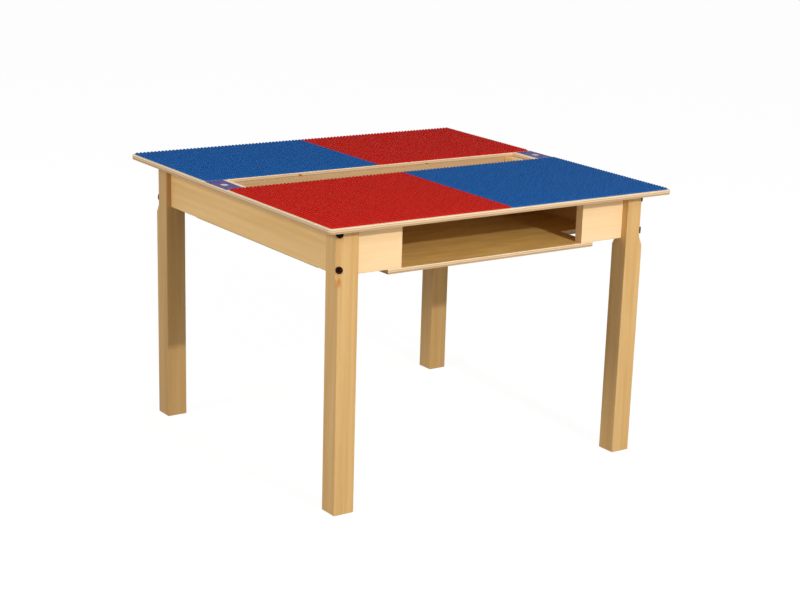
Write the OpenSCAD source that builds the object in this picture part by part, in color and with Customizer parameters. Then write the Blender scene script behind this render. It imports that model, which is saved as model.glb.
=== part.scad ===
// Children's building table with a storage shelf and a centre trough.
// X runs along the front, +Y points to the back and +Z up.
// The origin is on the floor, under the middle of the tabletop.

/* [Tabletop] */
// Thickness of the plywood tabletop
top_t = 9; // [8:0.5:18]
// Height of the tabletop's upper face above the floor
table_h = 538; // [420:1:620]
// Radius of the tabletop's corners
top_corner_r = 12; // [3:1:30]
// Bare plywood margin around the stud plates
plate_margin = 6; // [3:0.5:12]
// How far the tabletop overhangs the legs' outer faces along X
overhang_x = 39; // [20:1:60]
// How far the tabletop overhangs the legs' outer faces along Y
overhang_y = 34; // [15:1:50]

/* [Stud plates] */
// Distance from one stud to the next
stud_pitch = 8; // [7:0.1:9.6]
// Diameter of a stud
stud_d = 4.8; // [4:0.1:5.4]
// Height of a stud above its sheet
stud_h = 1.8; // [1:0.1:2.4]
// Thickness of a plate's sheet
sheet_t = 1.6; // [1:0.1:3]
// Studs of a plate along X
plate_cols = 48; // [40:1:56]
// Studs of a front plate along Y
front_rows = 44; // [36:1:52]
// Studs of a back plate along Y
back_rows = 37; // [30:1:46]
// Radius of a plate's corners
plate_corner_r = 3; // [1:0.5:4]

/* [Trough] */
// Width of the slot in the tabletop along Y
slot_d = 86; // [50:1:120]
// Bare plywood between a plate's edge and the slot
slot_margin = 1; // [0:0.5:3]
// Thickness of the two trough walls
wall_t = 12; // [9:0.5:19]

/* [Legs] */
// Side of the square leg
leg_s = 42; // [38:1:50]
// Radius of the leg's upright edges
leg_edge_r = 2; // [1:0.5:4]
// Width of the flat cut off the leg's outer and inner corner, on each face
leg_flat = 10; // [8:0.5:11]
// Height over which the flat runs out below the aprons
flat_runout = 18; // [10:1:40]

/* [Aprons] */
// Height of the aprons
apron_h = 89; // [76:1:110]
// Thickness of the aprons
apron_t = 19; // [16:1:20]
// Setback of a side apron from the leg's outer face
side_recess = 11; // [10:0.5:14]
// Setback of a short apron from the leg's outer face
short_recess = 16; // [14:0.5:18]
// Length of a short apron, between a leg and the shelf's opening
short_len = 101; // [60:1:140]

/* [Shelf] */
// Thickness of the shelf
shelf_t = 9; // [6:0.5:15]
// How far the shelf runs past the opening, under the short aprons
shelf_lap = 29; // [20:1:40]
// How far the shelf's wide middle stays back from the short aprons' outer faces
shelf_mid_back = 99; // [60:1:160]
// How far the shelf's wide middle runs under each side apron
shelf_side_lap = 1; // [0.5:0.5:6]

/* [Leg bolts] */
// Diameter of a leg bolt
bolt_d = 6; // [5:1:8]
// Length of a leg bolt under its head
bolt_len = 80; // [75:1:90]
// Diameter of the bolt's flat head
bolt_head_d = 13; // [12:0.5:17]
// Height of the bolt's flat head
bolt_head_h = 2.5; // [2:0.1:4]
// Distance between the two bolts of a leg
bolt_gap = 63; // [50:1:63]
// How far the middle of the two bolts lies above the aprons' middle
bolt_rise = 1.5; // [0:0.5:2]
// Radial clearance of the bolt in its holes
bolt_clear = 0.4; // [0.2:0.05:0.6]

/* [Screws] */
// Diameter of a wood screw
screw_d = 4; // [3:0.5:4.5]
// Diameter of a wood screw's head
screw_head_d = 8; // [7:0.5:8.5]
// Radial clearance round a screw
screw_clear = 0.1; // [0.05:0.05:0.3]

/* [Hidden] */
$fn = 48;
eps = 0.5;

under_z = table_h - top_t;
apron_z = under_z - apron_h;
shelf_z = apron_z - shelf_t;
bolt_mid_z = apron_z + apron_h / 2 + bolt_rise;
bolt_heights = [bolt_mid_z - bolt_gap / 2, bolt_mid_z + bolt_gap / 2];

// Stud plates, and the tabletop that carries them
plate_w = plate_cols * stud_pitch;
front_d = front_rows * stud_pitch;
back_d = back_rows * stud_pitch;
top_w = 2 * (plate_w + plate_margin);
top_d = front_d + slot_d + back_d + 2 * (slot_margin + plate_margin);
plates_y0 = -top_d / 2 + plate_margin;
plates_y1 = top_d / 2 - plate_margin;
sheet_gap = 0.4;
field_step = 4;

// Legs and the faces of the aprons
frame_w = top_w - 2 * overhang_x;
frame_d = top_d - 2 * overhang_y;
side_out_x = frame_w / 2 - side_recess;
side_in_x = side_out_x - apron_t;
short_out_y = frame_d / 2 - short_recess;
short_in_y = short_out_y - apron_t;
side_len = frame_d - 2 * leg_s;
opening_w = frame_w - 2 * (leg_s + short_len);
side_edge_r = 2;
short_edge_r = 1;

// Slot and trough: the slot ends at the side aprons' outer faces
slot_w = 2 * side_out_x;
slot_y0 = plates_y0 + front_d + slot_margin;
slot_y1 = slot_y0 + slot_d;
slot_mid_y = (slot_y0 + slot_y1) / 2;
slot_corner_r = 3;

// Leg bolts, measured on the leg's diagonal from its outer corner
root2 = sqrt(2);
outer_flat_t = leg_flat / root2;
inner_flat_t = (2 * leg_s - leg_flat) / root2;
socket_across = 4;
socket_depth = 1.8;
washer_t = 1.6;
washer_d = 12;
nut_t = 5;
nut_across = 10;
thread_left = 1.3;

// Corner blocks, in the leg's own corner frame
block_back_t = outer_flat_t + bolt_len - thread_left - nut_t - washer_t;
block_sum = block_back_t * root2;
block_side_u = side_recess + apron_t;
block_short_v = short_recess + apron_t;
block_end_gap = 4;
block_z0 = apron_z + block_end_gap;
block_h = apron_h - 2 * block_end_gap;
block_screw_rise = 20;
block_screw_heights = [bolt_mid_z - block_screw_rise, bolt_mid_z + block_screw_rise];
block_screw_offset = 22;
block_screw_at = leg_s + block_screw_offset;
block_grip = 8;
block_screw_len = 22;

// Screws
screw_head_h = (screw_head_d - screw_d) / 2;
screw_head_clear = 0.5;
screw_drill_past = 1;
top_screw_len = 40;
shelf_screw_len = 32;
side_screw_y = [for (share = [-0.82, -0.36, 0.5, 0.82]) share * side_len / 2];
wall_screw_x = [for (share = [-0.87, 0, 0.87]) share * side_in_x];

// Labels
label_t = 0.3;
label_edge_gap = 2;
label_slot_gap = 10;
label_w = top_w / 2 - slot_w / 2 - label_edge_gap - label_slot_gap;
label_d = slot_d - 2 * label_edge_gap;

// Colours
ply = "#DCC391";
leg_wood = "#D9B479";
apron_wood = "#EBC893";
inner_wood = "#C79A5B";
plate_red = "#B0261E";
plate_blue = "#235591";
label_purple = "#6B4A7A";
black_metal = "#201C1A";
zinc = "#B8B8B4";

LEFT = -1;
RIGHT = 1;
FRONT = -1;
BACK = 1;
SIDES = [LEFT, RIGHT];
ENDS = [FRONT, BACK];

// A w by d rectangle with round corners, its lower left corner at the origin
module round_plan(w, d, r) {
    translate([r, 0]) square([w - 2 * r, d]);
    translate([0, r]) square([w, d - 2 * r]);
    for (x = [r, w - r], y = [r, d - r]) translate([x, y]) circle(r);
}

// A board from one corner to the other, with round edges along the axis named
module board(from, to, r, along) {
    s = to - from;
    translate(from) {
        if (along == "x")
            rotate([90, 0, 90]) linear_extrude(s[0]) round_plan(s[1], s[2], r);
        if (along == "y")
            translate([0, s[1], 0])
                rotate([90, 0, 0]) linear_extrude(s[1]) round_plan(s[0], s[2], r);
    }
}

// Puts children at a leg's outer corner, with local +X and +Y pointing inwards
module at_corner(side, end) {
    translate([side * frame_w / 2, end * frame_d / 2, 0])
        mirror([side == RIGHT ? 1 : 0, 0, 0])
            mirror([0, end == BACK ? 1 : 0, 0])
                children();
}

// Puts children on a bolt's axis at distance t down the leg's diagonal, +Z along it
module on_bolt(t, z) {
    translate([t / root2, t / root2, z]) rotate([0, 0, 45]) rotate([0, 90, 0]) children();
}

// A countersunk wood screw pointing down -Z, its head's face at the origin
module screw(len) {
    rotate([180, 0, 0]) {
        cylinder(h = screw_head_h, d1 = screw_head_d, d2 = screw_d);
        translate([0, 0, screw_head_h]) cylinder(h = len - screw_head_h - screw_d, d = screw_d);
        translate([0, 0, len - screw_d]) cylinder(h = screw_d, d1 = screw_d, d2 = screw_d / 4);
    }
}

// The hole for that screw: a countersink, a straight bore and a blind end
module screw_hole(len) {
    rotate([180, 0, 0]) {
        cylinder(h = screw_head_h, d1 = screw_head_d, d2 = screw_d);
        cylinder(h = len + screw_drill_past, d = screw_d + 2 * screw_clear);
        translate([0, 0, -eps]) cylinder(h = eps, d = screw_head_d);
    }
}

// Where the screws through the tabletop go
module each_top_screw() {
    for (s = SIDES, y = side_screw_y)
        translate([s * (side_in_x + apron_t / 2), y, table_h]) children();
    for (s = SIDES, e = ENDS)
        translate([s * (opening_w + short_len) / 2, e * (short_in_y + apron_t / 2), table_h])
            children();
    for (x = wall_screw_x, y = [slot_y0 - wall_t / 2, slot_y1 + wall_t / 2])
        translate([x, y, table_h]) children();
}

// Where the screws up through the shelf go, each pointing up
module each_shelf_screw() {
    for (s = SIDES, e = ENDS)
        translate([s * (opening_w + shelf_lap) / 2, e * (short_in_y + apron_t / 2), shelf_z])
            rotate([180, 0, 0]) children();
    for (x = wall_screw_x, y = [slot_y0 - wall_t / 2, slot_y1 + wall_t / 2])
        translate([x, y, shelf_z]) rotate([180, 0, 0]) children();
}

// Where a corner block's screws go, in the leg's corner frame
module each_block_screw() {
    for (z = block_screw_heights) {
        translate([block_side_u + block_grip, block_screw_at, z]) rotate([0, 90, 0]) children();
        translate([block_screw_at, block_short_v + block_grip, z]) rotate([-90, 0, 0]) children();
    }
}

module top_panel() {
    color(ply) difference() {
        translate([-top_w / 2, -top_d / 2, under_z])
            linear_extrude(top_t) round_plan(top_w, top_d, top_corner_r);
        translate([-slot_w / 2, slot_y0, under_z - eps])
            linear_extrude(top_t + 2 * eps)
                round_plan(slot_w, slot_d, slot_corner_r);
        each_top_screw() screw_hole(top_screw_len);
    }
}

// True for the studs that the solid carries: the outer rows, and every fourth one inside them
function is_modelled(i, j, rows) =
    i == 0 || i == plate_cols - 1 || j == 0 || j == rows - 1
    || (i % field_step == 0 && j % field_step == 0);

// One stud plate: the sheet and its modelled studs
module stud_plate(side, y0, rows, tint) {
    d = rows * stud_pitch;
    x0 = side == LEFT ? -plate_w : sheet_gap / 2;
    color(tint) translate([x0, y0, table_h]) {
        linear_extrude(sheet_t) round_plan(plate_w - sheet_gap / 2, d, plate_corner_r);
        translate([side == LEFT ? 0 : -sheet_gap / 2, 0, sheet_t])
            linear_extrude(stud_h)
                for (i = [0 : plate_cols - 1], j = [0 : rows - 1])
                    if (is_modelled(i, j, rows))
                        translate([(i + 0.5) * stud_pitch, (j + 0.5) * stud_pitch])
                            circle(d = stud_d, $fn = 24);
    }
}

module stud_plate_front_left() { stud_plate(LEFT, plates_y0, front_rows, plate_red); }
module stud_plate_front_right() { stud_plate(RIGHT, plates_y0, front_rows, plate_blue); }
module stud_plate_back_left() { stud_plate(LEFT, plates_y1 - back_d, back_rows, plate_blue); }
module stud_plate_back_right() { stud_plate(RIGHT, plates_y1 - back_d, back_rows, plate_red); }

// The printed label on the plywood at one end of the slot
module label(side) {
    x = side * (slot_w / 2 + label_slot_gap + label_w / 2);
    color(label_purple)
        translate([x - label_w / 2, slot_mid_y - label_d / 2, table_h])
            cube([label_w, label_d, label_t]);
}

module label_left() { label(LEFT); }
module label_right() { label(RIGHT); }

module trough_wall(y0) {
    color(inner_wood) difference() {
        translate([-side_in_x, y0, apron_z]) cube([2 * side_in_x, wall_t, apron_h]);
        each_top_screw() screw_hole(top_screw_len);
        each_shelf_screw() screw_hole(shelf_screw_len);
    }
}

module trough_wall_front() { trough_wall(slot_y0 - wall_t); }
module trough_wall_back() { trough_wall(slot_y1); }

// The wedge that leaves a stopped flat on one upright corner of a leg
module flat_cut() {
    deep = outer_flat_t;
    rotate([0, 0, 45]) rotate([90, 0, 0])
        translate([0, 0, -leg_s / 2]) linear_extrude(leg_s)
            polygon([
                [-deep, under_z + eps], [deep, under_z + eps],
                [deep, apron_z], [0, apron_z - flat_runout], [-deep, apron_z - 2 * flat_runout]
            ]);
}

module leg(side, end) {
    color(leg_wood) at_corner(side, end) difference() {
        linear_extrude(under_z) round_plan(leg_s, leg_s, leg_edge_r);
        flat_cut();
        translate([leg_s, leg_s, 0]) rotate([0, 0, 180]) flat_cut();
        for (z = bolt_heights)
            on_bolt(0, z) cylinder(h = 2 * leg_s, r = bolt_d / 2 + bolt_clear);
    }
}

module leg_front_left() { leg(LEFT, FRONT); }
module leg_front_right() { leg(RIGHT, FRONT); }
module leg_back_left() { leg(LEFT, BACK); }
module leg_back_right() { leg(RIGHT, BACK); }

module all_block_screw_holes() {
    for (s = SIDES, e = ENDS) at_corner(s, e) each_block_screw() screw_hole(block_screw_len);
}

module side_apron(side) {
    x0 = side == LEFT ? -side_out_x : side_in_x;
    color(apron_wood) difference() {
        board([x0, -side_len / 2, apron_z], [x0 + apron_t, side_len / 2, under_z], side_edge_r, "y");
        each_top_screw() screw_hole(top_screw_len);
        all_block_screw_holes();
    }
}

module side_apron_left() { side_apron(LEFT); }
module side_apron_right() { side_apron(RIGHT); }

module short_apron(side, end) {
    x0 = side == LEFT ? -opening_w / 2 - short_len : opening_w / 2;
    y0 = end == FRONT ? -short_out_y : short_in_y;
    color(apron_wood) difference() {
        board([x0, y0, apron_z], [x0 + short_len, y0 + apron_t, under_z], short_edge_r, "x");
        each_top_screw() screw_hole(top_screw_len);
        each_shelf_screw() screw_hole(shelf_screw_len);
        all_block_screw_holes();
    }
}

module short_apron_front_left() { short_apron(LEFT, FRONT); }
module short_apron_front_right() { short_apron(RIGHT, FRONT); }
module short_apron_back_left() { short_apron(LEFT, BACK); }
module short_apron_back_right() { short_apron(RIGHT, BACK); }

// The hardwood block that ties a leg to its two aprons
module corner_block(side, end) {
    chamfer_sum = 2 * leg_s - leg_flat;
    color(inner_wood) at_corner(side, end) difference() {
        translate([0, 0, block_z0]) linear_extrude(block_h)
            polygon([
                [block_side_u, leg_s],
                [chamfer_sum - leg_s, leg_s],
                [chamfer_sum - block_short_v, block_short_v],
                [block_sum - block_short_v, block_short_v],
                [block_side_u, block_sum - block_side_u]
            ]);
        for (z = bolt_heights)
            on_bolt(inner_flat_t - eps, z) cylinder(h = leg_s, r = bolt_d / 2 + bolt_clear);
        each_block_screw() {
            screw_hole(block_screw_len);
            cylinder(h = leg_s, d = screw_head_d + 2 * screw_head_clear);
        }
    }
}

module corner_block_front_left() { corner_block(LEFT, FRONT); }
module corner_block_front_right() { corner_block(RIGHT, FRONT); }
module corner_block_back_left() { corner_block(LEFT, BACK); }
module corner_block_back_right() { corner_block(RIGHT, BACK); }

module storage_shelf() {
    arm_w = opening_w + 2 * shelf_lap;
    mid_w = 2 * (side_in_x + shelf_side_lap);
    mid_d = 2 * (short_out_y - shelf_mid_back);
    color(ply) difference() {
        translate([0, 0, shelf_z]) linear_extrude(shelf_t) {
            square([arm_w, 2 * short_out_y], center = true);
            square([mid_w, mid_d], center = true);
        }
        each_shelf_screw() screw_hole(shelf_screw_len);
    }
}

module at_each_bolt(t) {
    for (s = SIDES, e = ENDS, z = bolt_heights) at_corner(s, e) on_bolt(t, z) children();
}

module leg_bolts() {
    color(black_metal) at_each_bolt(outer_flat_t) {
        difference() {
            translate([0, 0, -bolt_head_h]) cylinder(h = bolt_head_h, d = bolt_head_d);
            translate([0, 0, -bolt_head_h - eps])
                cylinder(h = socket_depth + eps, d = socket_across / cos(30), $fn = 6);
        }
        cylinder(h = bolt_len, d = bolt_d);
    }
}

module bolt_washers() {
    color(zinc) at_each_bolt(block_back_t) difference() {
        cylinder(h = washer_t, d = washer_d);
        translate([0, 0, -eps]) cylinder(h = washer_t + 2 * eps, r = bolt_d / 2 + bolt_clear);
    }
}

module bolt_nuts() {
    color(zinc) at_each_bolt(block_back_t + washer_t) difference() {
        cylinder(h = nut_t, d = nut_across / cos(30), $fn = 6);
        translate([0, 0, -eps]) cylinder(h = nut_t + 2 * eps, d = bolt_d);
    }
}

module block_screws() {
    color(zinc) for (s = SIDES, e = ENDS) at_corner(s, e) each_block_screw() screw(block_screw_len);
}

module top_screws() { color(zinc) each_top_screw() screw(top_screw_len); }
module shelf_screws() { color(zinc) each_shelf_screw() screw(shelf_screw_len); }

top_panel();
stud_plate_front_left();
stud_plate_front_right();
stud_plate_back_left();
stud_plate_back_right();
label_left();
label_right();
trough_wall_front();
trough_wall_back();
leg_front_left();
leg_front_right();
leg_back_left();
leg_back_right();
side_apron_left();
side_apron_right();
short_apron_front_left();
short_apron_front_right();
short_apron_back_left();
short_apron_back_right();
corner_block_front_left();
corner_block_front_right();
corner_block_back_left();
corner_block_back_right();
storage_shelf();
leg_bolts();
bolt_washers();
bolt_nuts();
block_screws();
top_screws();
shelf_screws();
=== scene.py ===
"""A children's building table: stud plates on a plywood top, a centre trough and an open shelf.

Every piece is modelled in metres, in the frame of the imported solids, and takes its place from them.
"""

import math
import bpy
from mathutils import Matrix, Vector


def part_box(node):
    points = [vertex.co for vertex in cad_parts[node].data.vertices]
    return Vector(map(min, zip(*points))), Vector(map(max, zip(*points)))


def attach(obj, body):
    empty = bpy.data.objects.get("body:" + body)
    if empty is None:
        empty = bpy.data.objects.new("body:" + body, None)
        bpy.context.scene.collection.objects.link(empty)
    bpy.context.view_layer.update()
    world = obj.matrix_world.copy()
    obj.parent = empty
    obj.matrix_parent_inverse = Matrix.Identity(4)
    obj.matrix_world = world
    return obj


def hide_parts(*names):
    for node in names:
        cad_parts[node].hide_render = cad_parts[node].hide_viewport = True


bl_info = {
    "name": "Children's building table",
    "version": (1, 0, 0),
    "blender": (4, 5, 0),
    "location": "View3D > Sidebar > Building table",
    "description": "Models a wooden building table with stud plates, a trough and a shelf",
    "category": "Add Mesh",
}

import bmesh
import bpy
from mathutils import Matrix, Quaternion, Vector

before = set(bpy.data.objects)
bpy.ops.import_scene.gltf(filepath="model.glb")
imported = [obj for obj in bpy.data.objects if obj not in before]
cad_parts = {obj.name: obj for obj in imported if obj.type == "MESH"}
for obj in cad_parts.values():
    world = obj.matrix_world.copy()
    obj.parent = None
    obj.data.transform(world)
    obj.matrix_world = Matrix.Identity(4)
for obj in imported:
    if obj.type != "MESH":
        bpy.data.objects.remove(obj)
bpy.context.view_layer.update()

MM = 0.001
UP = Vector((0, 0, 1))
SAME_POINT = 1e-6  # metres within which two places count as one
CUT_REACH = 1e-7  # metres within which a cut takes a vertex as lying on its plane
SHARP_ANGLE = math.radians(35)  # edges that bend more than this keep their crease
AXES = {"X": 0, "Y": 1, "Z": 2}
SIDES = {"left": -1, "right": 1}
ENDS = {"front": -1, "back": 1}
CORNERS = [(end, side) for end in ENDS for side in SIDES]
PLATE_COLOURS = {
    "stud_plate_front_left": "red",
    "stud_plate_front_right": "blue",
    "stud_plate_back_left": "blue",
    "stud_plate_back_right": "red",
}
DARK_LEG = "leg_back_left"  # the leg whose timber is darker than the other legs'
BOARD_END_RADIUS = 0.5 * MM  # of the edges round an apron's or a trough wall's ends
WALL_SCREW_SHARES = (-0.87, 0, 0.87)  # where a trough wall's screws are, along half its length


def to_linear(code):
    """An sRGB hex colour as linear red, green, blue and alpha."""
    channels = [int(code[i:i + 2], 16) / 255 for i in (1, 3, 5)]
    linear = [c / 12.92 if c <= 0.04045 else ((c + 0.055) / 1.055) ** 2.4 for c in channels]
    return (*linear, 1.0)


def length(name, description, default_mm):
    """A length property that is given in millimetres."""
    return bpy.props.FloatProperty(
        name=name,
        description=description,
        default=default_mm * MM,
        min=0.0,
        precision=4,
        subtype="DISTANCE",
        unit="LENGTH",
    )


def colour(name, description, code):
    """A colour property that is given as an sRGB hex colour."""
    return bpy.props.FloatVectorProperty(
        name=name,
        description=description,
        default=to_linear(code),
        size=4,
        min=0.0,
        max=1.0,
        subtype="COLOR",
    )


class BuildingTableSizes(bpy.types.PropertyGroup):
    """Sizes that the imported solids' boxes don't give."""

    stud_pitch: length("Stud pitch", "Distance from one stud to the next", 8)
    stud_d: length("Stud diameter", "Diameter of a stud", 4.8)
    stud_h: length("Stud height", "Height of a stud above its sheet", 1.8)
    stud_rim: length("Stud rim", "Radius of a stud's upper rim", 0.4)
    plate_corner: length("Plate corner", "Radius of a stud plate's corners", 3)
    top_corner: length("Tabletop corner", "Radius of the tabletop's corners", 12)
    slot_corner: length("Slot corner", "Radius of the slot's corners", 3)
    top_arris: length("Tabletop arris", "Radius of the tabletop's upper and lower edges", 3)
    leg_edge: length("Leg edge", "Radius of a leg's upright edges", 2)
    leg_flat: length("Leg flat", "Width that the flat takes off each face of a leg's corner", 10)
    foot_edge: length("Foot edge", "Radius of the edges round a leg's foot", 1)
    flat_runout: length("Flat run-out", "Height over which a leg's flat runs out", 18)
    side_apron_edge: length("Side apron edge", "Radius of a side apron's long edges", 2)
    short_apron_edge: length("Short apron edge", "Radius of a short apron's long edges", 1)
    inner_edge: length("Inner board edge", "Radius of the trough walls' edges", 0.8)
    hidden_edge: length("Hidden edge", "Radius of a side apron's edges inside the table", 0.4)
    shelf_lap: length("Shelf lap", "How far the shelf runs under a short apron", 29)
    shelf_mid_back: length("Shelf notch", "How far the shelf's wide middle stays back", 99)
    shelf_arris: length("Shelf arris", "Radius of the shelf's edges", 0.6)
    ply_layer: length("Ply layer", "Thickness of one layer of the plywood", 1.8)
    bolt_d: length("Bolt diameter", "Diameter of a leg bolt", 6)
    bolt_len: length("Bolt length", "Length of a leg bolt under its head", 80)
    bolt_head_d: length("Bolt head diameter", "Diameter of a leg bolt's flat head", 13)
    bolt_head_h: length("Bolt head height", "Height of a leg bolt's flat head", 2.5)
    bolt_rim: length("Bolt rim", "Radius of the rim of a leg bolt's head", 0.9)
    bolt_socket: length("Bolt socket depth", "Depth of the hex socket in a bolt's head", 1.8)
    bolt_socket_r: length("Bolt socket radius", "Radius to the corners of that socket", 2.3)
    screw_d: length("Screw diameter", "Diameter of a shelf screw", 4)
    screw_head_d: length("Screw head diameter", "Diameter of a shelf screw's head", 8)
    screw_len: length("Screw length", "Length of a shelf screw", 32)
    screw_lip: length("Screw lip", "Bevel round a shelf screw's head", 0.1)
    screw_socket: length("Screw socket", "Depth and corner radius of a screw's hex socket", 1.5)


class BuildingTableColours(bpy.types.PropertyGroup):
    """The colours of the table's materials."""

    # The plates' second colours are painted light: the sheet between the studs shows brighter, to
    # offset the studs' shade
    red: colour("Red plate", "Moulded red of two stud plates", "#A7190F")
    red_painted_lift: colour("Red painted lift", "Red of the sheet between the studs, painted brighter against their shade", "#E62918")
    blue: colour("Blue plate", "Moulded blue of two stud plates", "#15518C")
    blue_painted_lift: colour("Blue painted lift", "Blue of the sheet between the studs, painted brighter against their shade", "#1E71C1")
    veneer: colour("Top veneer", "Face of the tabletop's plywood", "#F4DCBA")
    shelf_veneer: colour("Shelf veneer", "Face of the shelf's plywood", "#E9C274")
    ply_pale: colour("Ply long grain", "Layers seen along their grain", "#EBCDA5")
    ply_dark: colour("Ply end grain", "Layers seen across their grain", "#D6B488")
    # The upper layer of the plywood edges gets a painted highlight; the lowest layers are darker
    ply_painted_highlight: colour("Ply painted highlight", "Upper layer of an edge, painted brighter as a highlight", "#F8DEC4")
    ply_lower_tint: colour("Ply lower tint", "Tint that darkens the lowest layers of an edge", "#DCD6CC")
    leg: colour("Leg timber", "Lacquered wood of the legs", "#DFB679")
    leg_streak: colour("Leg streaks", "Darker streaks in the legs", "#CFA05F")
    # The back left leg's timber is darker than the other legs'
    dark_leg: colour("Dark leg timber", "Darker wood of the back left leg", "#CCA56C")
    dark_leg_streak: colour("Dark leg streaks", "Darker streaks in that leg", "#BE9154")
    side_apron: colour("Side apron timber", "Lacquered wood of the side aprons", "#F0C788")
    side_apron_streak: colour("Side apron streaks", "Darker streaks in the side aprons", "#E3B672")
    short_apron: colour("Short apron timber", "Lacquered wood of the short aprons", "#FDDAA8")
    short_apron_streak: colour("Short apron streaks", "Darker streaks in them", "#F7CF98")
    inner: colour("Inner timber", "Wood of the trough walls and corner blocks", "#D2AF81")
    inner_streak: colour("Inner streaks", "Darker streaks in that wood", "#B79159")
    knot: colour("Plywood knot", "Resinous heart of a knot in the plywood", "#9A5A22")
    leg_runout_tint: colour("Leg run-out tint", "Darker orange where a leg's flat runs out, under a bolt", "#C4864A")
    label: colour("Label", "Printed ground of the labels", "#3E2F7C")
    label_mark: colour("Label mark", "Pale shape printed on the labels", "#E3C6C4")
    steel_black: colour("Black steel", "Brown-black lacquer of the leg bolts", "#240B05")
    steel_zinc: colour("Zinc", "Zinc plating of screws, washers and nuts", "#B8B8B4")


# Materials


SMOOTH = {"interpolation_type": "SMOOTHSTEP"}
# A colour mix takes its share at input 0 and its two colours at inputs 6 and 7
MIXED = {"data_type": "RGBA"}
TINTED = {"data_type": "RGBA", "blend_type": "MULTIPLY"}


def first_output(node):
    """A node's first working output."""
    return next(socket for socket in node.outputs if socket.enabled)


def add_node(tree, kind, settings=None, inputs=None, stops=()):
    """Adds a node with its settings, its inputs' values or links, and a ramp's stops.

    An input that is given as a node is linked to that node's first working output.
    """
    node = tree.nodes.new(kind)
    for name, value in (settings or {}).items():
        setattr(node, name, value)
    for name, value in (inputs or {}).items():
        if isinstance(value, bpy.types.Node):
            value = first_output(value)
        if isinstance(value, bpy.types.NodeSocket):
            tree.links.new(value, node.inputs[name])
        else:
            node.inputs[name].default_value = value
    for i, (position, shade) in enumerate(stops):
        elements = node.color_ramp.elements
        element = elements[i] if i < len(elements) else elements.new(position)
        element.position = position
        element.color = shade
    return node


def new_material(name, shader_inputs):
    """A material with a principled shader.

    Returns the material, its node tree, the shader and the object's own coordinates.
    """
    material = bpy.data.materials.new(name)
    material.use_nodes = True
    tree = material.node_tree
    tree.nodes.clear()
    shader = add_node(tree, "ShaderNodeBsdfPrincipled", inputs=shader_inputs)
    add_node(tree, "ShaderNodeOutputMaterial", inputs={"Surface": shader})
    place = add_node(tree, "ShaderNodeTexCoord").outputs["Object"]
    return material, tree, shader, place


def finish_surface(tree, shader, shade, pattern, roughness, bump, span=(0.3, 0.7)):
    """Gives a shader its colour, and its roughness and bump from one fine pattern.

    Roughness runs between two values over the pattern's span. Bump is a strength and a height.
    """
    limits = {
        "Value": pattern,
        "From Min": span[0],
        "From Max": span[1],
        "To Min": roughness[0],
        "To Max": roughness[1],
    }
    sheen = add_node(tree, "ShaderNodeMapRange", SMOOTH, limits)
    relief = {"Strength": bump[0], "Distance": bump[1], "Height": pattern}
    normal = add_node(tree, "ShaderNodeBump", inputs=relief)
    for name, node in (("Base Color", shade), ("Roughness", sheen), ("Normal", normal)):
        tree.links.new(first_output(node), shader.inputs[name])


def grain_scale(along, across, stretch):
    """Scales for a pattern across metres wide that is stretched along one axis."""
    scale = [1 / across] * 3
    scale[AXES[along]] = 1 / (across * stretch)
    return scale


def fibre_pattern(tree, place, scale, detail, wave=0.0):
    """A pattern of fibres: space is scaled along each axis, then filled with noise."""
    run = add_node(tree, "ShaderNodeMapping", inputs={"Vector": place, "Scale": scale})
    inputs = {"Vector": run, "Scale": 1.0, "Detail": detail, "Distortion": wave}
    return add_node(tree, "ShaderNodeTexNoise", inputs=inputs)


def shaded_where(tree, value, start, end, shade, other, most=1.0, settings=MIXED):
    """A colour that takes on another one, at most so far, as a value goes from start to end."""
    limits = {"Value": value, "From Min": start, "From Max": end, "To Max": most}
    share = add_node(tree, "ShaderNodeMapRange", SMOOTH, limits)
    return add_node(tree, "ShaderNodeMix", settings, {0: share, 6: shade, 7: other})


def with_spot(tree, place, shade, spot_shade, point, reach, core):
    """A colour with a soft spot, as wide as reach along each axis and full inside its core."""
    offset = add_node(tree, "ShaderNodeVectorMath", {"operation": "SUBTRACT"}, {0: place, 1: point})
    share = add_node(tree, "ShaderNodeVectorMath", {"operation": "DIVIDE"}, {0: offset, 1: reach})
    far = add_node(tree, "ShaderNodeVectorMath", {"operation": "LENGTH"}, {0: share})
    return shaded_where(tree, far, 1.0, core, shade, spot_shade)


def lacquered_timber(name, pale, streak, along, spots=(), spot_tint=None):
    """Planed softwood under satin lacquer.

    The eye sees long soft streaks along the grain, fine pores between them, and a low sheen.
    """
    material, tree, shader, place = new_material(name, {"Specular IOR Level": 0.2})
    weight = 0.0
    # Broad bands, streaks and last the pores: share, width, stretch, detail and waviness
    for share, width, stretch, detail, wave in (
        (0.5, 22 * MM, 18, 2.0, 0.6),
        (0.35, 6 * MM, 45, 2.5, 0.3),
        (0.15, 0.9 * MM, 30, 3.0, 0.0),
    ):
        fibres = fibre_pattern(tree, place, grain_scale(along, width, stretch), detail, wave)
        step = {0: fibres, 1: share, 2: weight}
        weight = add_node(tree, "ShaderNodeMath", {"operation": "MULTIPLY_ADD"}, step)
    shade = shaded_where(tree, weight, 0.36, 0.72, pale, streak)
    # Spots of their own tint, longer along the grain, such as the darker orange where a leg's flat
    # runs out
    for point, size in spots:
        reach = [size] * 3
        reach[AXES[along]] = 2.4 * size
        shade = with_spot(tree, place, shade, spot_tint, point, reach, 0.35)
    finish_surface(tree, shader, shade, fibres, (0.42, 0.55), (0.5, 0.06 * MM))
    return material


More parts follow.
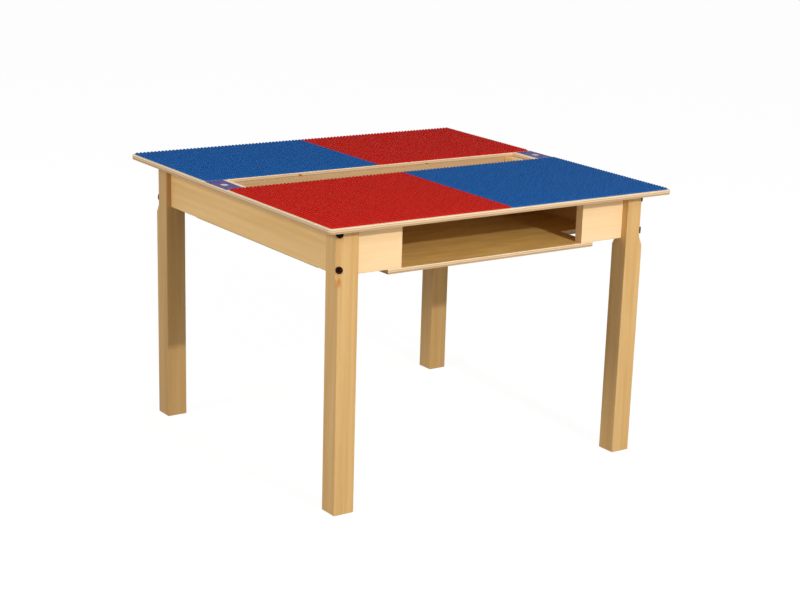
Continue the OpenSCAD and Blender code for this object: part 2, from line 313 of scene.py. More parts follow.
def birch_veneer(name, pale, along):
    """Rotary-cut birch under satin lacquer: an even pale face with faint wavy figure."""
    material, tree, shader, place = new_material(name, {"Specular IOR Level": 0.25})
    figure = fibre_pattern(tree, place, grain_scale(along, 14 * MM, 8), 3.0, 1.2)
    pores = fibre_pattern(tree, place, grain_scale(along, 0.8 * MM, 25), 2.0)
    darker = add_node(tree, "ShaderNodeMix", TINTED, {0: 1.0, 6: pale, 7: (0.86, 0.80, 0.70, 1.0)})
    shade = shaded_where(tree, figure, 0.35, 0.7, pale, darker)
    shade = shaded_where(tree, pores, 0.55, 0.8, shade, darker, 0.35)
    finish_surface(tree, shader, shade, pores, (0.36, 0.48), (0.4, 0.05 * MM))
    return material


def birch_ply_edge(name, tints, bottom, layer, spots=()):
    """Sawn and sanded plywood edge.

    Layers seen along their grain are pale and smooth, those seen across it darker and open.
    The upper layer is painted brighter as a highlight, and the lowest layers are darker.
    """
    material, tree, shader, place = new_material(name, {"Specular IOR Level": 0.15})
    height = add_node(tree, "ShaderNodeSeparateXYZ", inputs={"Vector": place}).outputs["Z"]
    bends = {"Vector": place, "Scale": 1 / (40 * MM), "Detail": 1.0}
    bend = add_node(tree, "ShaderNodeTexNoise", inputs=bends)
    limits = {"Value": bend, "From Min": 0.3, "From Max": 0.7, "To Min": -0.15, "To Max": 0.15}
    waver = add_node(tree, "ShaderNodeMapRange", SMOOTH, limits)
    rise = add_node(tree, "ShaderNodeMath", {"operation": "SUBTRACT"}, {0: height, 1: bottom})
    step = {0: rise, 1: 1 / layer, 2: waver}
    layers = add_node(tree, "ShaderNodeMath", {"operation": "MULTIPLY_ADD"}, step)
    pairs = add_node(tree, "ShaderNodeMath", {"operation": "MULTIPLY"}, {0: layers, 1: 0.5})
    pair = add_node(tree, "ShaderNodeMath", {"operation": "FRACT"}, {0: pairs})
    stops = [
        (0.0, tints.ply_pale),
        (0.44, tints.ply_pale),
        (0.5, tints.ply_dark),
        (0.94, tints.ply_dark),
    ]
    ramp = add_node(tree, "ShaderNodeValToRGB", inputs={"Fac": pair}, stops=stops)
    cut = [1 / (1.1 * MM), 1 / (1.1 * MM), 1 / (0.7 * MM)]
    fibres = fibre_pattern(tree, place, cut, 2.0)
    shade = shaded_where(tree, fibres, 0.45, 0.8, ramp, tints.ply_dark, 0.4)
    # The edge is darker towards the bottom: its lowest layers take a darker tint
    shade = shaded_where(tree, layers, 2.8, 1.2, shade, tints.ply_lower_tint, settings=TINTED)
    # Painted highlight: the edge's upper layer is made brighter
    shade = shaded_where(tree, layers, 3.9, 4.6, shade, tints.ply_painted_highlight)
    for point, size in spots:
        reach = (size, size, 0.35 * size)
        shade = with_spot(tree, place, shade, tints.knot, point, reach, 0.4)
    finish_surface(tree, shader, shade, fibres, (0.5, 0.68), (0.6, 0.1 * MM))
    return material


def moulded_abs(name, shade, painted_lift, sheet_top, stud_top):
    """Injection-moulded ABS with a fine satin grain, so its studs don't glint from afar.

    The sheet between the studs is painted brighter against the studs' shade, and the stud tops are
    rubbed by bricks.
    """
    material, tree, shader, place = new_material(name, {"IOR": 1.53, "Specular IOR Level": 0.01})
    clouds = {"Vector": place, "Scale": 1 / (30 * MM), "Detail": 2.0}
    flow = add_node(tree, "ShaderNodeTexNoise", inputs=clouds)
    strokes = [1 / (0.5 * MM), 1 / (3 * MM), 1 / (0.5 * MM)]
    scuffs = fibre_pattern(tree, place, strokes, 3.0)
    darker = add_node(tree, "ShaderNodeMix", TINTED, {0: 1.0, 6: shade, 7: (0.9, 0.9, 0.9, 1.0)})
    body = shaded_where(tree, flow, 0.3, 0.7, shade, darker)
    height = add_node(tree, "ShaderNodeSeparateXYZ", inputs={"Vector": place}).outputs["Z"]
    # Painted light: the sheet's top and each stud's foot, but not the sheet's outer sides, take the
    # brighter tint against the studs' shade
    below = {"Value": height, "From Min": sheet_top + 1.2 * MM, "From Max": sheet_top}
    above = {"Value": height, "From Min": sheet_top - 0.2 * MM, "From Max": sheet_top - 0.02 * MM}
    lower = add_node(tree, "ShaderNodeMapRange", SMOOTH, below)
    upper = add_node(tree, "ShaderNodeMapRange", SMOOTH, above)
    between = add_node(tree, "ShaderNodeMath", {"operation": "MULTIPLY"}, {0: lower, 1: upper})
    body = add_node(tree, "ShaderNodeMix", MIXED, {0: between, 6: body, 7: painted_lift})
    top = {"Value": height, "From Min": stud_top - 0.5 * MM, "From Max": stud_top - 0.1 * MM}
    marks = {"Value": scuffs, "From Min": 0.4, "From Max": 0.75, "To Max": 0.2}
    on_top = add_node(tree, "ShaderNodeMapRange", SMOOTH, top)
    worn = add_node(tree, "ShaderNodeMapRange", SMOOTH, marks)
    rubbed = add_node(tree, "ShaderNodeMath", {"operation": "MULTIPLY"}, {0: on_top, 1: worn})
    paler = add_node(tree, "ShaderNodeMix", MIXED, {0: 0.04, 6: shade, 7: (1.0, 1.0, 1.0, 1.0)})
    tone = add_node(tree, "ShaderNodeMix", MIXED, {0: rubbed, 6: body, 7: paler})
    finish_surface(tree, shader, tone, scuffs, (0.34, 0.46), (0.3, 0.01 * MM), (0.3, 0.75))
    return material


def printed_film(name, ground, mark, centre, reach):
    """Printed vinyl film: a flat tint with one small pale spot, and a slight satin gloss."""
    material, tree, shader, place = new_material(name, {"IOR": 1.46, "Specular IOR Level": 0.05})
    clouds = {"Vector": place, "Scale": 1 / (6 * MM), "Detail": 2.0}
    ink = add_node(tree, "ShaderNodeTexNoise", inputs=clouds)
    darker = add_node(tree, "ShaderNodeMix", TINTED, {0: 1.0, 6: ground, 7: (0.6, 0.7, 0.85, 1.0)})
    shade = shaded_where(tree, ink, 0.35, 0.7, ground, darker)
    shade = with_spot(tree, place, shade, mark, centre, reach, 0.6)
    finish_surface(tree, shader, shade, ink, (0.32, 0.42), (0.3, 0.01 * MM))
    return material


def finished_steel(name, shade, roughness, shader_inputs):
    """Turned steel with a thin finish: fine grit in its sheen and slightly paler worn clouds."""
    material, tree, shader, place = new_material(name, shader_inputs)
    fine = {"Vector": place, "Scale": 1 / (0.35 * MM), "Detail": 3.0}
    broad = {"Vector": place, "Scale": 1 / (4 * MM), "Detail": 2.0}
    grit = add_node(tree, "ShaderNodeTexNoise", inputs=fine)
    cloud = add_node(tree, "ShaderNodeTexNoise", inputs=broad)
    paler = add_node(tree, "ShaderNodeMix", MIXED, {0: 0.06, 6: shade, 7: (0.5, 0.5, 0.5, 1.0)})
    tone = shaded_where(tree, cloud, 0.45, 0.8, shade, paler, 0.6)
    sheen = (roughness - 0.08, roughness + 0.08)
    finish_surface(tree, shader, tone, grit, sheen, (0.5, 0.02 * MM))
    return material


# Mesh work


def corners_of(node):
    """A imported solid's lowest and highest corner as vectors."""
    low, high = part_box(node)
    return Vector(low), Vector(high)


def outer_corner(end, side, z):
    """A leg's corner that is farthest from the table's middle, at a height."""
    corners = corners_of(f"leg_{end}_{side}")
    x, y = (max((corner[axis] for corner in corners), key=abs) for axis in (0, 1))
    return Vector((x, y, z))


def new_block(low, high):
    """A bmesh with one block from corner to corner."""
    bm = bmesh.new()
    bmesh.ops.create_cube(bm, size=1)
    bmesh.ops.scale(bm, vec=high - low, verts=bm.verts)
    bmesh.ops.translate(bm, vec=(low + high) / 2, verts=bm.verts)
    return bm


def is_along(edge, axis):
    """True if the edge runs along the axis with that index."""
    run = edge.verts[1].co - edge.verts[0].co
    return abs(run[axis]) > 0.999 * run.length


def at_level(edge, axis, level):
    """True if both ends of the edge lie at a level of an axis."""
    return all(abs(v.co[axis] - level) < SAME_POINT for v in edge.verts)


def is_square(edge):
    """True if the edge joins two faces at a right angle."""
    return edge.is_manifold and abs(edge.calc_face_angle() - math.pi / 2) < 0.01


def round_edges(bm, edges, radius, segments):
    """Rounds the edges with an arc."""
    bmesh.ops.bevel(
        bm,
        geom=edges,
        offset=radius,
        offset_type="OFFSET",
        segments=segments,
        profile=0.5,
        affect="EDGES",
        clamp_overlap=True,
        material=-1,
    )


def piece_from(bm, name, materials, nodes):
    """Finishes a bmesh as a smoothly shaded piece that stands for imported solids."""
    bmesh.ops.recalc_face_normals(bm, faces=bm.faces)
    for face in bm.faces:
        face.smooth = True
    for edge in bm.edges:
        edge.smooth = len(edge.link_faces) == 2 and edge.calc_face_angle() < SHARP_ANGLE
    mesh = bpy.data.meshes.new(name)
    bm.to_mesh(mesh)
    bm.free()
    for material in materials:
        mesh.materials.append(material)
    piece = bpy.data.objects.new(name, mesh)
    bpy.context.scene.collection.objects.link(piece)
    piece.modifiers.new("face_weight", "WEIGHTED_NORMAL").keep_sharp = True
    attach(piece, "root")
    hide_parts(*nodes)
    return piece


def new_board(node, along, radius, inner_radius=None):
    """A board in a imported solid's place, its long edges round and its ends eased.

    Long edges on the face towards the table's middle may have a radius of their own.
    """
    low, high = corners_of(node)
    axis = AXES[along]
    across = 1 - axis
    inner = min(low[across], high[across], key=abs)
    bm = new_block(low, high)
    for at_inner, edge_radius in ((True, inner_radius or radius), (False, radius)):
        long_edges = [e for e in bm.edges if is_along(e, axis) and is_square(e)]
        group = [e for e in long_edges if at_level(e, across, inner) == at_inner]
        round_edges(bm, group, edge_radius, 4)
    ends = [e for e in bm.edges if at_level(e, axis, low[axis]) or at_level(e, axis, high[axis])]
    round_edges(bm, ends, BOARD_END_RADIUS, 2)
    return bm


def add_outline(bm, low, high):
    """A flat rectangle of four edges in the XY plane; returns its edges."""
    before = set(bm.edges)
    corners = bmesh.ops.create_grid(bm, x_segments=1, y_segments=1, size=0.5)["verts"]
    bmesh.ops.scale(bm, vec=(high.x - low.x, high.y - low.y, 1), verts=corners)
    bmesh.ops.translate(bm, vec=((low.x + high.x) / 2, (low.y + high.y) / 2, low.z), verts=corners)
    faces = [f for f in bm.faces if all(v in corners for v in f.verts)]
    bmesh.ops.delete(bm, geom=faces, context="FACES_ONLY")
    return [e for e in bm.edges if e not in before]


def thicken(bm, height):
    """Extrudes all the flat faces of a bmesh up by a height."""
    raised = bmesh.ops.extrude_face_region(bm, geom=bm.faces[:])["geom"]
    verts = [part for part in raised if isinstance(part, bmesh.types.BMVert)]
    bmesh.ops.translate(bm, vec=(0, 0, height), verts=verts)
    bmesh.ops.recalc_face_normals(bm, faces=bm.faces)


def is_arris(edge):
    """True if the edge lies between an upright face and a level one."""
    if len(edge.link_faces) != 2:
        return False
    levels = sorted(abs(f.normal.z) for f in edge.link_faces)
    return levels[0] < 0.01 and levels[1] > 0.99


def mark_ply_edges(bm):
    """Gives the second material to all faces that aren't level."""
    for face in bm.faces:
        face.material_index = 0 if abs(face.normal.z) > 0.9 else 1


def turned_piece(bm, place, socket_r, socket_depth, profile, sides):
    """A turned fastener with a hex socket: profile runs from its face as (radius, depth).

    Place carries the face's centre and turns +Z into the wood.
    """
    before = set(bm.verts)
    first_r, first_depth = profile[0]
    hexagon = bmesh.ops.create_circle(bm, segments=6, radius=socket_r)["verts"]
    rim = bmesh.ops.create_circle(bm, segments=sides, radius=first_r)["verts"]
    bmesh.ops.translate(bm, vec=(0, 0, first_depth), verts=hexagon + rim)
    hex_edges = [e for e in bm.edges if all(v in hexagon for v in e.verts)]
    loop = [e for e in bm.edges if all(v in rim for v in e.verts)]
    bmesh.ops.bridge_loops(bm, edges=hex_edges + loop)
    down = extended_loop(bm, hex_edges, 1.0, socket_depth)
    bmesh.ops.contextual_create(bm, geom=down)
    for (r0, z0), (r1, z1) in zip(profile, profile[1:]):
        loop = extended_loop(bm, loop, r1 / r0, z1 - z0)
    bmesh.ops.contextual_create(bm, geom=loop)
    verts = [v for v in bm.verts if v not in before]
    bmesh.ops.transform(bm, matrix=place, verts=verts)


def extended_loop(bm, edges, growth, depth):
    """Extrudes a round loop of edges, grown about the Z axis and moved along it."""
    new = bmesh.ops.extrude_edge_only(bm, edges=edges)["geom"]
    verts = [part for part in new if isinstance(part, bmesh.types.BMVert)]
    bmesh.ops.scale(bm, vec=(growth, growth, 1), verts=verts)
    bmesh.ops.translate(bm, vec=(0, 0, depth), verts=verts)
    new_edges = [part for part in new if isinstance(part, bmesh.types.BMEdge)]
    return [e for e in new_edges if all(v in verts for v in e.verts)]


def facing(point, direction):
    """A matrix that puts the origin at a point and turns +Z to a direction."""
    turn = UP.rotation_difference(direction).to_matrix().to_4x4()
    return Matrix.Translation(point) @ turn


def dress_node(node, material):
    """Gives a carried-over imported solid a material."""
    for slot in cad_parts[node].material_slots:
        slot.material = material


# Operators, one for each piece or group of like pieces


class BUILDINGTABLE_OT_tabletop(bpy.types.Operator):
    """Models the plywood tabletop with its slot"""

    bl_idname = "building_table.tabletop"
    bl_label = "Tabletop"

    def execute(self, context):
        sizes = context.scene.building_table_sizes
        tints = context.scene.building_table_colours
        low, high = corners_of("top_panel")
        wall_low, wall_high = corners_of("trough_wall_front")[1], corners_of("trough_wall_back")[0]
        side_low, side_high = corners_of("side_apron_left")[0], corners_of("side_apron_right")[1]
        slot_low = Vector((side_low.x, wall_low.y, low.z))
        slot_high = Vector((side_high.x, wall_high.y, high.z))
        bm = bmesh.new()
        outer = add_outline(bm, low, high)
        inner = add_outline(bm, slot_low, slot_high)
        bmesh.ops.bridge_loops(bm, edges=outer + inner)
        thicken(bm, high.z - low.z)
        outer_corners = [e for e in bm.edges if is_along(e, 2) and not self.at_slot(e, high)]
        round_edges(bm, outer_corners, sizes.top_corner, 8)
        slot_corners = [e for e in bm.edges if is_along(e, 2) and self.at_slot(e, high)]
        round_edges(bm, slot_corners, sizes.slot_corner, 5)
        bm.normal_update()
        # The slot's lower edges rest on the trough's walls and the side aprons, and stay sharp
        resting = {e for e in bm.edges if at_level(e, 2, low.z) and self.at_slot(e, high)}
        arrises = [e for e in bm.edges if is_arris(e) and e not in resting]
        round_edges(bm, arrises, sizes.top_arris, 3)
        bm.normal_update()
        mark_ply_edges(bm)
        # Two knots in the slot's far edge: their middle and radius
        far_knots = [
            ((-0.179, slot_high.y, high.z - 5 * MM), 6 * MM),
            ((0.120, slot_high.y, high.z - 6 * MM), 5 * MM),
        ]
        materials = [
            birch_veneer("birch_veneer_top", tints.veneer, "X"),
            birch_ply_edge("birch_ply_edge_top", tints, low.z, sizes.ply_layer, far_knots),
        ]
        piece_from(bm, "tabletop", materials, ["top_panel"])
        return {"FINISHED"}

    def at_slot(self, edge, high):
        """True if the edge belongs to the slot and not to the tabletop's outline."""
        return abs(edge.verts[0].co.y) < 0.5 * high.y


class BUILDINGTABLE_OT_stud_plates(bpy.types.Operator):
    """Models the four stud plates, every stud of them"""

    bl_idname = "building_table.stud_plates"
    bl_label = "Stud plates"

    def execute(self, context):
        sizes = context.scene.building_table_sizes
        tints = context.scene.building_table_colours
        stud_top = corners_of("stud_plate_front_left")[1].z
        sheet_top = stud_top - sizes.stud_h
        # Each plate's moulded colour, and the brighter painted light for the sheet between its studs
        shades = {"red": (tints.red, tints.red_painted_lift), "blue": (tints.blue, tints.blue_painted_lift)}
        finishes = {
            tint: moulded_abs("moulded_abs_" + tint, shade, painted_lift, sheet_top, stud_top)
            for tint, (shade, painted_lift) in shades.items()
        }
        for node, tint in PLATE_COLOURS.items():
            bm = self.sheet(node, sizes)
            self.studs(bm, node, sizes)
            piece_from(bm, node + "_dressed", [finishes[tint]], [node])
        return {"FINISHED"}

    def sheet(self, node, sizes):
        """The plate's thin sheet with round corners."""
        low, high = corners_of(node)
        bm = new_block(low, Vector((high.x, high.y, high.z - sizes.stud_h)))
        round_edges(bm, [e for e in bm.edges if is_along(e, 2)], sizes.plate_corner, 4)
        return bm

    def studs(self, bm, node, sizes):
        """One stud, copied along a row, and the row copied over the plate."""
        low, high = corners_of(node)
        pitch = sizes.stud_pitch
        columns = round((high.x - low.x) / pitch)
        rows = round((high.y - low.y) / pitch)
        # The rows are measured from the plate's outer end
        start_x = high.x - columns * pitch if abs(low.x) < pitch else low.x
        before = set(bm.verts)
        made = bmesh.ops.create_cone(
            bm,
            cap_ends=True,
            segments=16,
            radius1=sizes.stud_d / 2,
            radius2=sizes.stud_d / 2,
            depth=sizes.stud_h,
        )["verts"]
        rim = [e for e in bm.edges if e.verts[0] in made and at_level(e, 2, sizes.stud_h / 2)]
        round_edges(bm, rim, sizes.stud_rim, 1)
        stud = [v for v in bm.verts if v not in before]
        centre = (start_x + pitch / 2, low.y + pitch / 2, high.z - sizes.stud_h / 2)
        bmesh.ops.translate(bm, vec=centre, verts=stud)
        row = self.repeated(bm, stud, columns, (pitch, 0, 0))
        self.repeated(bm, row, rows, (0, pitch, 0))

    def repeated(self, bm, verts, count, step):
        """Copies a group of closed shells count times in all; returns all their vertices."""
        group = set(verts)
        faces = {f for v in verts for f in v.link_faces}
        edges = {e for v in verts for e in v.link_edges}
        source = list(group) + list(edges) + list(faces)
        everything = list(verts)
        for number in range(1, count):
            new = bmesh.ops.duplicate(bm, geom=source)["geom"]
            copies = [part for part in new if isinstance(part, bmesh.types.BMVert)]
            bmesh.ops.translate(bm, vec=Vector(step) * number, verts=copies)
            everything += copies
        return everything


class BUILDINGTABLE_OT_labels(bpy.types.Operator):
    """Prints the labels at the slot's ends with a plain pale shape"""

    bl_idname = "building_table.labels"
    bl_label = "Labels"

    mark_x = 0.22  # how far the pale shape reaches, as a share of the label's width
    mark_y = 0.12  # and as a share of its length

    def execute(self, context):
        tints = context.scene.building_table_colours
        for side in SIDES:
            node = "label_" + side
            low, high = corners_of(node)
            middle = (low + high) / 2
            reach = ((high.x - low.x) * self.mark_x, (high.y - low.y) * self.mark_y, 1.0)
            name = "printed_film_" + side
            dress_node(node, printed_film(name, tints.label, tints.label_mark, middle, reach))
        return {"FINISHED"}


class BUILDINGTABLE_OT_legs(bpy.types.Operator):
    """Models the four square legs with their stopped flats"""

    bl_idname = "building_table.legs"
    bl_label = "Legs"

    def execute(self, context):
        sizes = context.scene.building_table_sizes
        tints = context.scene.building_table_colours
        stop_z = corners_of("side_apron_left")[0].z
        depth = sizes.leg_flat / math.sqrt(2)
        front = corners_of("leg_front_left")[0]
        # A darker orange spot where the front left leg's outer flat runs out: its middle and radius
        spots = [((front.x + 3 * MM, front.y + 3 * MM, stop_z - 7 * MM), 6 * MM)]
        finish = lacquered_timber(
            "lacquered_leg_timber", tints.leg, tints.leg_streak, "Z", spots, tints.leg_runout_tint
        )
        dark_finish = lacquered_timber(
            "lacquered_dark_leg_timber", tints.dark_leg, tints.dark_leg_streak, "Z"
        )
        for end, side in CORNERS:
            node = f"leg_{end}_{side}"
            low, high = corners_of(node)
            outward = Vector((SIDES[side], ENDS[end], 0)).normalized()
            outer = outer_corner(end, side, stop_z)
            inner = Vector((low.x + high.x - outer.x, low.y + high.y - outer.y, stop_z))
            bm = new_block(low, high)
            round_edges(bm, [e for e in bm.edges if is_along(e, 2)], sizes.leg_edge, 4)
            everything = bm.verts[:] + bm.edges[:] + bm.faces[:]
            bmesh.ops.bisect_plane(bm, geom=everything, dist=CUT_REACH, plane_co=outer, plane_no=UP)
            self.cut_flat(bm, outer, outward, depth, sizes.flat_runout)
            self.cut_flat(bm, inner, -outward, depth, sizes.flat_runout)
            round_edges(bm, [e for e in bm.edges if at_level(e, 2, low.z)], sizes.foot_edge, 2)
            timber = dark_finish if node == DARK_LEG else finish
            piece_from(bm, node + "_dressed", [timber], [node])
        return {"FINISHED"}

    def cut_flat(self, bm, corner, outward, depth, runout):
        """Cuts a flat off an upright corner above the corner point, and slants it out below."""
        start = corner - outward * depth
        slant = (outward * runout + UP * depth).normalized()
        for above, normal in ((True, outward), (False, slant)):
            half = self.half_of(bm, start.z, above)
            verts = {v for f in half for v in f.verts}
            edges = {e for f in half for e in f.edges}
            cut = [*verts, *edges, *half]
            bmesh.ops.bisect_plane(bm, geom=cut, dist=CUT_REACH, plane_co=start, plane_no=normal)
            outside = [
                f
                for f in self.half_of(bm, start.z, above)
                if (f.calc_center_median() - start).dot(normal) > SAME_POINT
            ]
            bmesh.ops.delete(bm, geom=outside, context="FACES")
        border = [e for e in bm.edges if len(e.link_faces) == 1]
        bend = list({v for e in border for v in e.verts if abs(v.co.z - start.z) < SAME_POINT})
        bar = bmesh.ops.contextual_create(bm, geom=bend)["edges"]
        upper = [e for e in border if (e.verts[0].co.z + e.verts[1].co.z) / 2 > start.z]
        lower = [e for e in border if e not in upper]
        bmesh.ops.contextual_create(bm, geom=upper + bar)
        bmesh.ops.contextual_create(bm, geom=lower + bar)

    def half_of(self, bm, level, above):
        """The faces above a level, or those below it."""
        return [f for f in bm.faces if (f.calc_center_median().z > level) == above]


class BUILDINGTABLE_OT_aprons(bpy.types.Operator):
    """Models the two side aprons and the four short aprons"""

    bl_idname = "building_table.aprons"
    bl_label = "Aprons"

    def execute(self, context):
        sizes = context.scene.building_table_sizes
        tints = context.scene.building_table_colours
        side_finish = lacquered_timber(
            "lacquered_side_apron_timber", tints.side_apron, tints.side_apron_streak, "Y"
        )
        short_finish = lacquered_timber(
            "lacquered_short_apron_timber", tints.short_apron, tints.short_apron_streak, "X"
        )
        for side in SIDES:
            node = "side_apron_" + side
            bm = new_board(node, "Y", sizes.side_apron_edge, sizes.hidden_edge)
            piece_from(bm, node + "_dressed", [side_finish], [node])
        for end, side in CORNERS:
            node = f"short_apron_{end}_{side}"
            bm = new_board(node, "X", sizes.short_apron_edge)
            piece_from(bm, node + "_dressed", [short_finish], [node])
        return {"FINISHED"}


class BUILDINGTABLE_OT_trough(bpy.types.Operator):
    """Models the trough's two walls and dresses the corner blocks in the same wood"""

    bl_idname = "building_table.trough"
    bl_label = "Trough walls and corner blocks"

    def execute(self, context):
        sizes = context.scene.building_table_sizes
        tints = context.scene.building_table_colours
        finish = lacquered_timber("lacquered_inner_timber", tints.inner, tints.inner_streak, "X")
        for end in ENDS:
            node = "trough_wall_" + end
            bm = new_board(node, "X", sizes.inner_edge)
            piece_from(bm, node + "_dressed", [finish], [node])
        block_finish = lacquered_timber("block_timber", tints.inner, tints.inner_streak, "Z")
        for end, side in CORNERS:
            dress_node(f"corner_block_{end}_{side}", block_finish)
        return {"FINISHED"}


class BUILDINGTABLE_OT_shelf(bpy.types.Operator):
    """Models the shelf, whose wide middle leaves a notch at each corner"""

    bl_idname = "building_table.shelf"
    bl_label = "Storage shelf"

    def execute(self, context):
        sizes = context.scene.building_table_sizes
        tints = context.scene.building_table_colours
        low, high = corners_of("storage_shelf")
        arm_x = corners_of("short_apron_front_right")[0].x + sizes.shelf_lap
        middle_y = high.y - sizes.shelf_mid_back
        bm = bmesh.new()
        bmesh.ops.create_grid(bm, x_segments=3, y_segments=3, size=1)
        notches = [f for f in bm.faces if min(map(abs, f.calc_center_median().xy)) > 0.5]
        bmesh.ops.delete(bm, geom=notches, context="FACES")
        for v in bm.verts:
            v.co.x = math.copysign(high.x if abs(v.co.x) > 0.5 else arm_x, v.co.x)
            v.co.y = math.copysign(high.y if abs(v.co.y) > 0.5 else middle_y, v.co.y)
            v.co.z = low.z
        thicken(bm, high.z - low.z)
        round_edges(bm, [e for e in bm.edges if is_arris(e)], sizes.shelf_arris, 2)
        bm.normal_update()
        mark_ply_edges(bm)
        materials = [
            birch_veneer("birch_veneer_shelf", tints.shelf_veneer, "X"),
            birch_ply_edge("birch_ply_edge_shelf", tints, low.z, sizes.ply_layer),
        ]
        piece_from(bm, "storage_shelf_dressed", materials, ["storage_shelf"])
        return {"FINISHED"}


class BUILDINGTABLE_OT_leg_bolts(bpy.types.Operator):
    """Models the flat-headed black bolts, two through each leg"""

    bl_idname = "building_table.leg_bolts"
    bl_label = "Leg bolts"

    def execute(self, context):
        sizes = context.scene.building_table_sizes
        tints = context.scene.building_table_colours
        low, high = corners_of("leg_bolts")
        head_r = sizes.bolt_head_d / 2
        rim = sizes.bolt_rim
        face = -sizes.bolt_head_h
        turns = [math.radians(angle) for angle in (0, 30, 60, 90)]
        profile = [
            (head_r - rim * (1 - math.sin(turn)), face + rim * (1 - math.cos(turn)))
            for turn in turns
        ]
        profile += [(head_r, 0), (sizes.bolt_d / 2, 0), (sizes.bolt_d / 2, sizes.bolt_len)]
        bm = bmesh.new()
        for end, side in CORNERS:
            outward = Vector((SIDES[side], ENDS[end], 0)).normalized()
            for z in (low.z + head_r, high.z - head_r):
                seat = outer_corner(end, side, z) - outward * sizes.leg_flat / math.sqrt(2)
                place = facing(seat, -outward)
                turned_piece(bm, place, sizes.bolt_socket_r, sizes.bolt_socket, profile, 24)
        lacquer = {"Metallic": 0.0, "Specular IOR Level": 0.04}
        finish = finished_steel("black_lacquered_steel", tints.steel_black, 0.5, lacquer)
        piece_from(bm, "leg_bolts_dressed", [finish], ["leg_bolts"])
        return {"FINISHED"}


class BUILDINGTABLE_OT_hardware(bpy.types.Operator):
    """Models the shelf's screws and dresses the hidden screws, washers and nuts in zinc"""

    bl_idname = "building_table.hardware"
    bl_label = "Screws, washers and nuts"

    def execute(self, context):
        sizes = context.scene.building_table_sizes
        tints = context.scene.building_table_colours
        finish = finished_steel("zinc_plated_steel", tints.steel_zinc, 0.35, {"Metallic": 1.0})
        for node in ("bolt_washers", "bolt_nuts", "block_screws", "top_screws"):
            dress_node(node, finish)
        head_r, shank_r = sizes.screw_head_d / 2, sizes.screw_d / 2
        profile = [
            (head_r - sizes.screw_lip, 0),
            (head_r, sizes.screw_lip),
            (shank_r, head_r - shank_r),
            (shank_r, sizes.screw_len - 2 * shank_r),
            (shank_r / 4, sizes.screw_len),
        ]
        bm = bmesh.new()
        for point in self.places(sizes):
            place = facing(point, UP)
            turned_piece(bm, place, sizes.screw_socket, sizes.screw_socket, profile, 16)
        piece_from(bm, "shelf_screws_dressed", [finish], ["shelf_screws"])
        return {"FINISHED"}

    def places(self, sizes):
        """Where the shelf's screws are, at the shelf's lower face."""
        z = corners_of("shelf_screws")[0].z
        for end, side in CORNERS:
            low, high = corners_of(f"short_apron_{end}_{side}")
            inner_x = min(low.x, high.x, key=abs)
            yield Vector((inner_x + SIDES[side] * sizes.shelf_lap / 2, (low.y + high.y) / 2, z))
        for end in ENDS:
            low, high = corners_of("trough_wall_" + end)
            for share in WALL_SCREW_SHARES:
                yield Vector((share * high.x, (low.y + high.y) / 2, z))


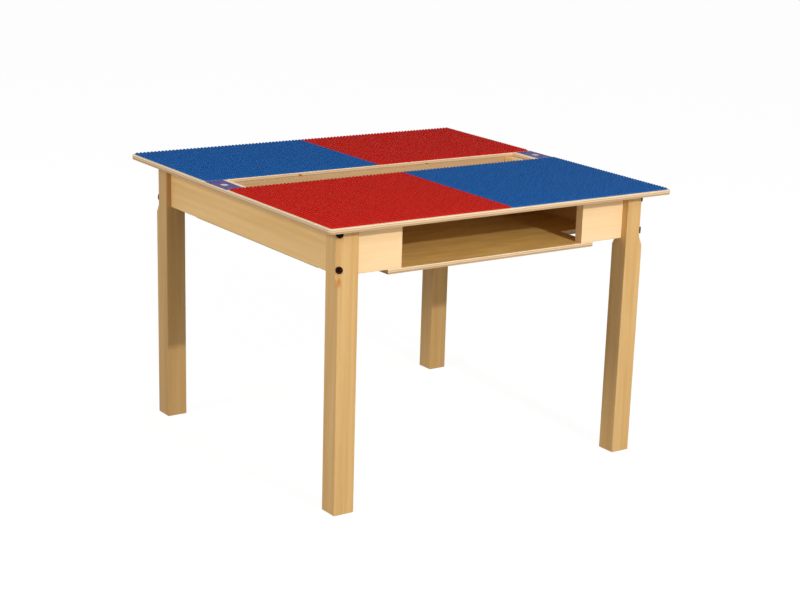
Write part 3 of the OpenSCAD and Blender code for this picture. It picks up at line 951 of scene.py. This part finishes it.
class BUILDINGTABLE_OT_stage(bpy.types.Operator):
    """Sets the camera, the lights, the white world and the pale floor"""

    bl_idname = "building_table.stage"
    bl_label = "Stage"

    world_fill = 0.42  # the world's strength where it only lights
    paper_grey = 0.38  # the floor's grey where it only lights
    paper_grey_seen = 0.12  # the floor's grey where it is seen, which carries the shadow
    paper_glow = 0.93  # what the floor adds there, so that it shows white
    floor_half = 30  # half the floor's side

    def execute(self, context):
        scene = context.scene
        scene.view_settings.view_transform = "Standard"
        self.camera(scene)
        self.lights(scene)
        self.world(scene)
        self.floor(scene)
        return {"FINISHED"}

    def camera(self, scene):
        """A long lens, low over the front left corner, slightly rolled."""
        place = Vector((-1.9530, -2.8445, 1.2131))
        target = Vector((-0.1097, -0.4943, 0.3000))
        data = bpy.data.cameras.new("camera")
        data.sensor_width = 36
        data.lens = 79.803
        data.shift_x = -0.125
        data.shift_y = 0.075
        data.clip_end = 200
        camera = bpy.data.objects.new("camera", data)
        roll = Quaternion((0, 0, 1), math.radians(2.658))
        turn = (target - place).to_track_quat("-Z", "Y") @ roll
        camera.matrix_world = Matrix.Translation(place) @ turn.to_matrix().to_4x4()
        scene.collection.objects.link(camera)
        scene.camera = camera

    def lights(self, scene):
        """A small key and a tall softbox in front of the table, and a round one on its left.

        The share is how brightly each lights a surface that faces it at the table's middle,
        where 1 shows the surface as it is.
        """
        middle = Vector((0, 0, 0.45))
        for name, place, width, height, share in (
            ("key", (0.0, -3.6, 1.98), 0.08, 0.08, 0.38),
            ("tall_softbox", (0.1, -3.4, 1.9), 0.6, 3.0, 0.27),
            ("left_softbox", (-3.6, 0.0, 2.03), 0.9, 0.9, 0.34),
        ):
            place = Vector(place)
            data = bpy.data.lights.new(name, "AREA")
            data.shape = "ELLIPSE"
            data.size = width
            data.size_y = height
            data.energy = share * math.pi ** 2 * (place - middle).length_squared
            light = bpy.data.objects.new(name, data)
            turn = (middle - place).to_track_quat("-Z", "Y").to_matrix().to_4x4()
            light.matrix_world = Matrix.Translation(place) @ turn
            scene.collection.objects.link(light)

    def seen_straight(self, tree):
        """1 for camera, glossy and transmission rays, and 0 for all others."""
        path = add_node(tree, "ShaderNodeLightPath")
        seen = path.outputs["Is Camera Ray"]
        for ray in ("Is Glossy Ray", "Is Transmission Ray"):
            either = {0: seen, 1: path.outputs[ray]}
            seen = add_node(tree, "ShaderNodeMath", {"operation": "MAXIMUM"}, either)
        return seen

    def world(self, scene):
        """White to the camera and in reflections, and a dimmer even light otherwise."""
        world = bpy.data.worlds.new("studio_world")
        world.use_nodes = True
        tree = world.node_tree
        tree.nodes.clear()
        levels = {"Value": self.seen_straight(tree), "To Min": self.world_fill, "To Max": 1.0}
        strength = add_node(tree, "ShaderNodeMapRange", SMOOTH, levels)
        light = {"Color": (1, 1, 1, 1), "Strength": strength}
        sky = add_node(tree, "ShaderNodeBackground", inputs=light)
        add_node(tree, "ShaderNodeOutputWorld", inputs={"Surface": sky})
        scene.world = world

    def floor(self, scene):
        """A seamless paper floor: white where it is seen, with the table's soft shadow."""
        bm = bmesh.new()
        bmesh.ops.create_grid(bm, x_segments=1, y_segments=1, size=self.floor_half)
        mesh = bpy.data.meshes.new("studio_floor")
        bm.to_mesh(mesh)
        bm.free()
        material = bpy.data.materials.new("seamless_paper")
        material.use_nodes = True
        tree = material.node_tree
        tree.nodes.clear()
        seen = self.seen_straight(tree)
        greys = {0: seen, 6: (*[self.paper_grey] * 3, 1), 7: (*[self.paper_grey_seen] * 3, 1)}
        grey = add_node(tree, "ShaderNodeMix", MIXED, greys)
        paper = add_node(tree, "ShaderNodeBsdfDiffuse", inputs={"Color": grey})
        share = {0: seen, 1: self.paper_glow}
        strength = add_node(tree, "ShaderNodeMath", {"operation": "MULTIPLY"}, share)
        light = {"Color": (1, 1, 1, 1), "Strength": strength}
        glow = add_node(tree, "ShaderNodeEmission", inputs=light)
        both = add_node(tree, "ShaderNodeAddShader", inputs={0: paper, 1: glow})
        add_node(tree, "ShaderNodeOutputMaterial", inputs={"Surface": both})
        mesh.materials.append(material)
        floor = bpy.data.objects.new("studio_floor", mesh)
        scene.collection.objects.link(floor)


OPERATORS = [
    BUILDINGTABLE_OT_tabletop,
    BUILDINGTABLE_OT_stud_plates,
    BUILDINGTABLE_OT_labels,
    BUILDINGTABLE_OT_legs,
    BUILDINGTABLE_OT_aprons,
    BUILDINGTABLE_OT_trough,
    BUILDINGTABLE_OT_shelf,
    BUILDINGTABLE_OT_leg_bolts,
    BUILDINGTABLE_OT_hardware,
    BUILDINGTABLE_OT_stage,
]


class BUILDINGTABLE_PT_panel(bpy.types.Panel):
    """Lists the table's pieces in the sidebar"""

    bl_idname = "BUILDINGTABLE_PT_panel"
    bl_label = "Building table"
    bl_space_type = "VIEW_3D"
    bl_region_type = "UI"
    bl_category = "Building table"

    def draw(self, context):
        for operator in OPERATORS:
            self.layout.operator(operator.bl_idname)
        for group in (context.scene.building_table_sizes, context.scene.building_table_colours):
            box = self.layout.box()
            for name in group.__annotations__:
                box.prop(group, name)


CLASSES = [BuildingTableSizes, BuildingTableColours, *OPERATORS, BUILDINGTABLE_PT_panel]


def register():
    """Registers the classes and the scene's sizes and colours."""
    for cls in CLASSES:
        bpy.utils.register_class(cls)
    bpy.types.Scene.building_table_sizes = bpy.props.PointerProperty(type=BuildingTableSizes)
    bpy.types.Scene.building_table_colours = bpy.props.PointerProperty(type=BuildingTableColours)


def unregister():
    """Takes them away again."""
    del bpy.types.Scene.building_table_colours
    del bpy.types.Scene.building_table_sizes
    for cls in reversed(CLASSES):
        bpy.utils.unregister_class(cls)


def main():
    """Makes all the pieces and the stage."""
    register()
    for operator in OPERATORS:
        name = operator.bl_idname.split(".")[1]
        getattr(bpy.ops.building_table, name)()


if __name__ == "__main__":
    main()
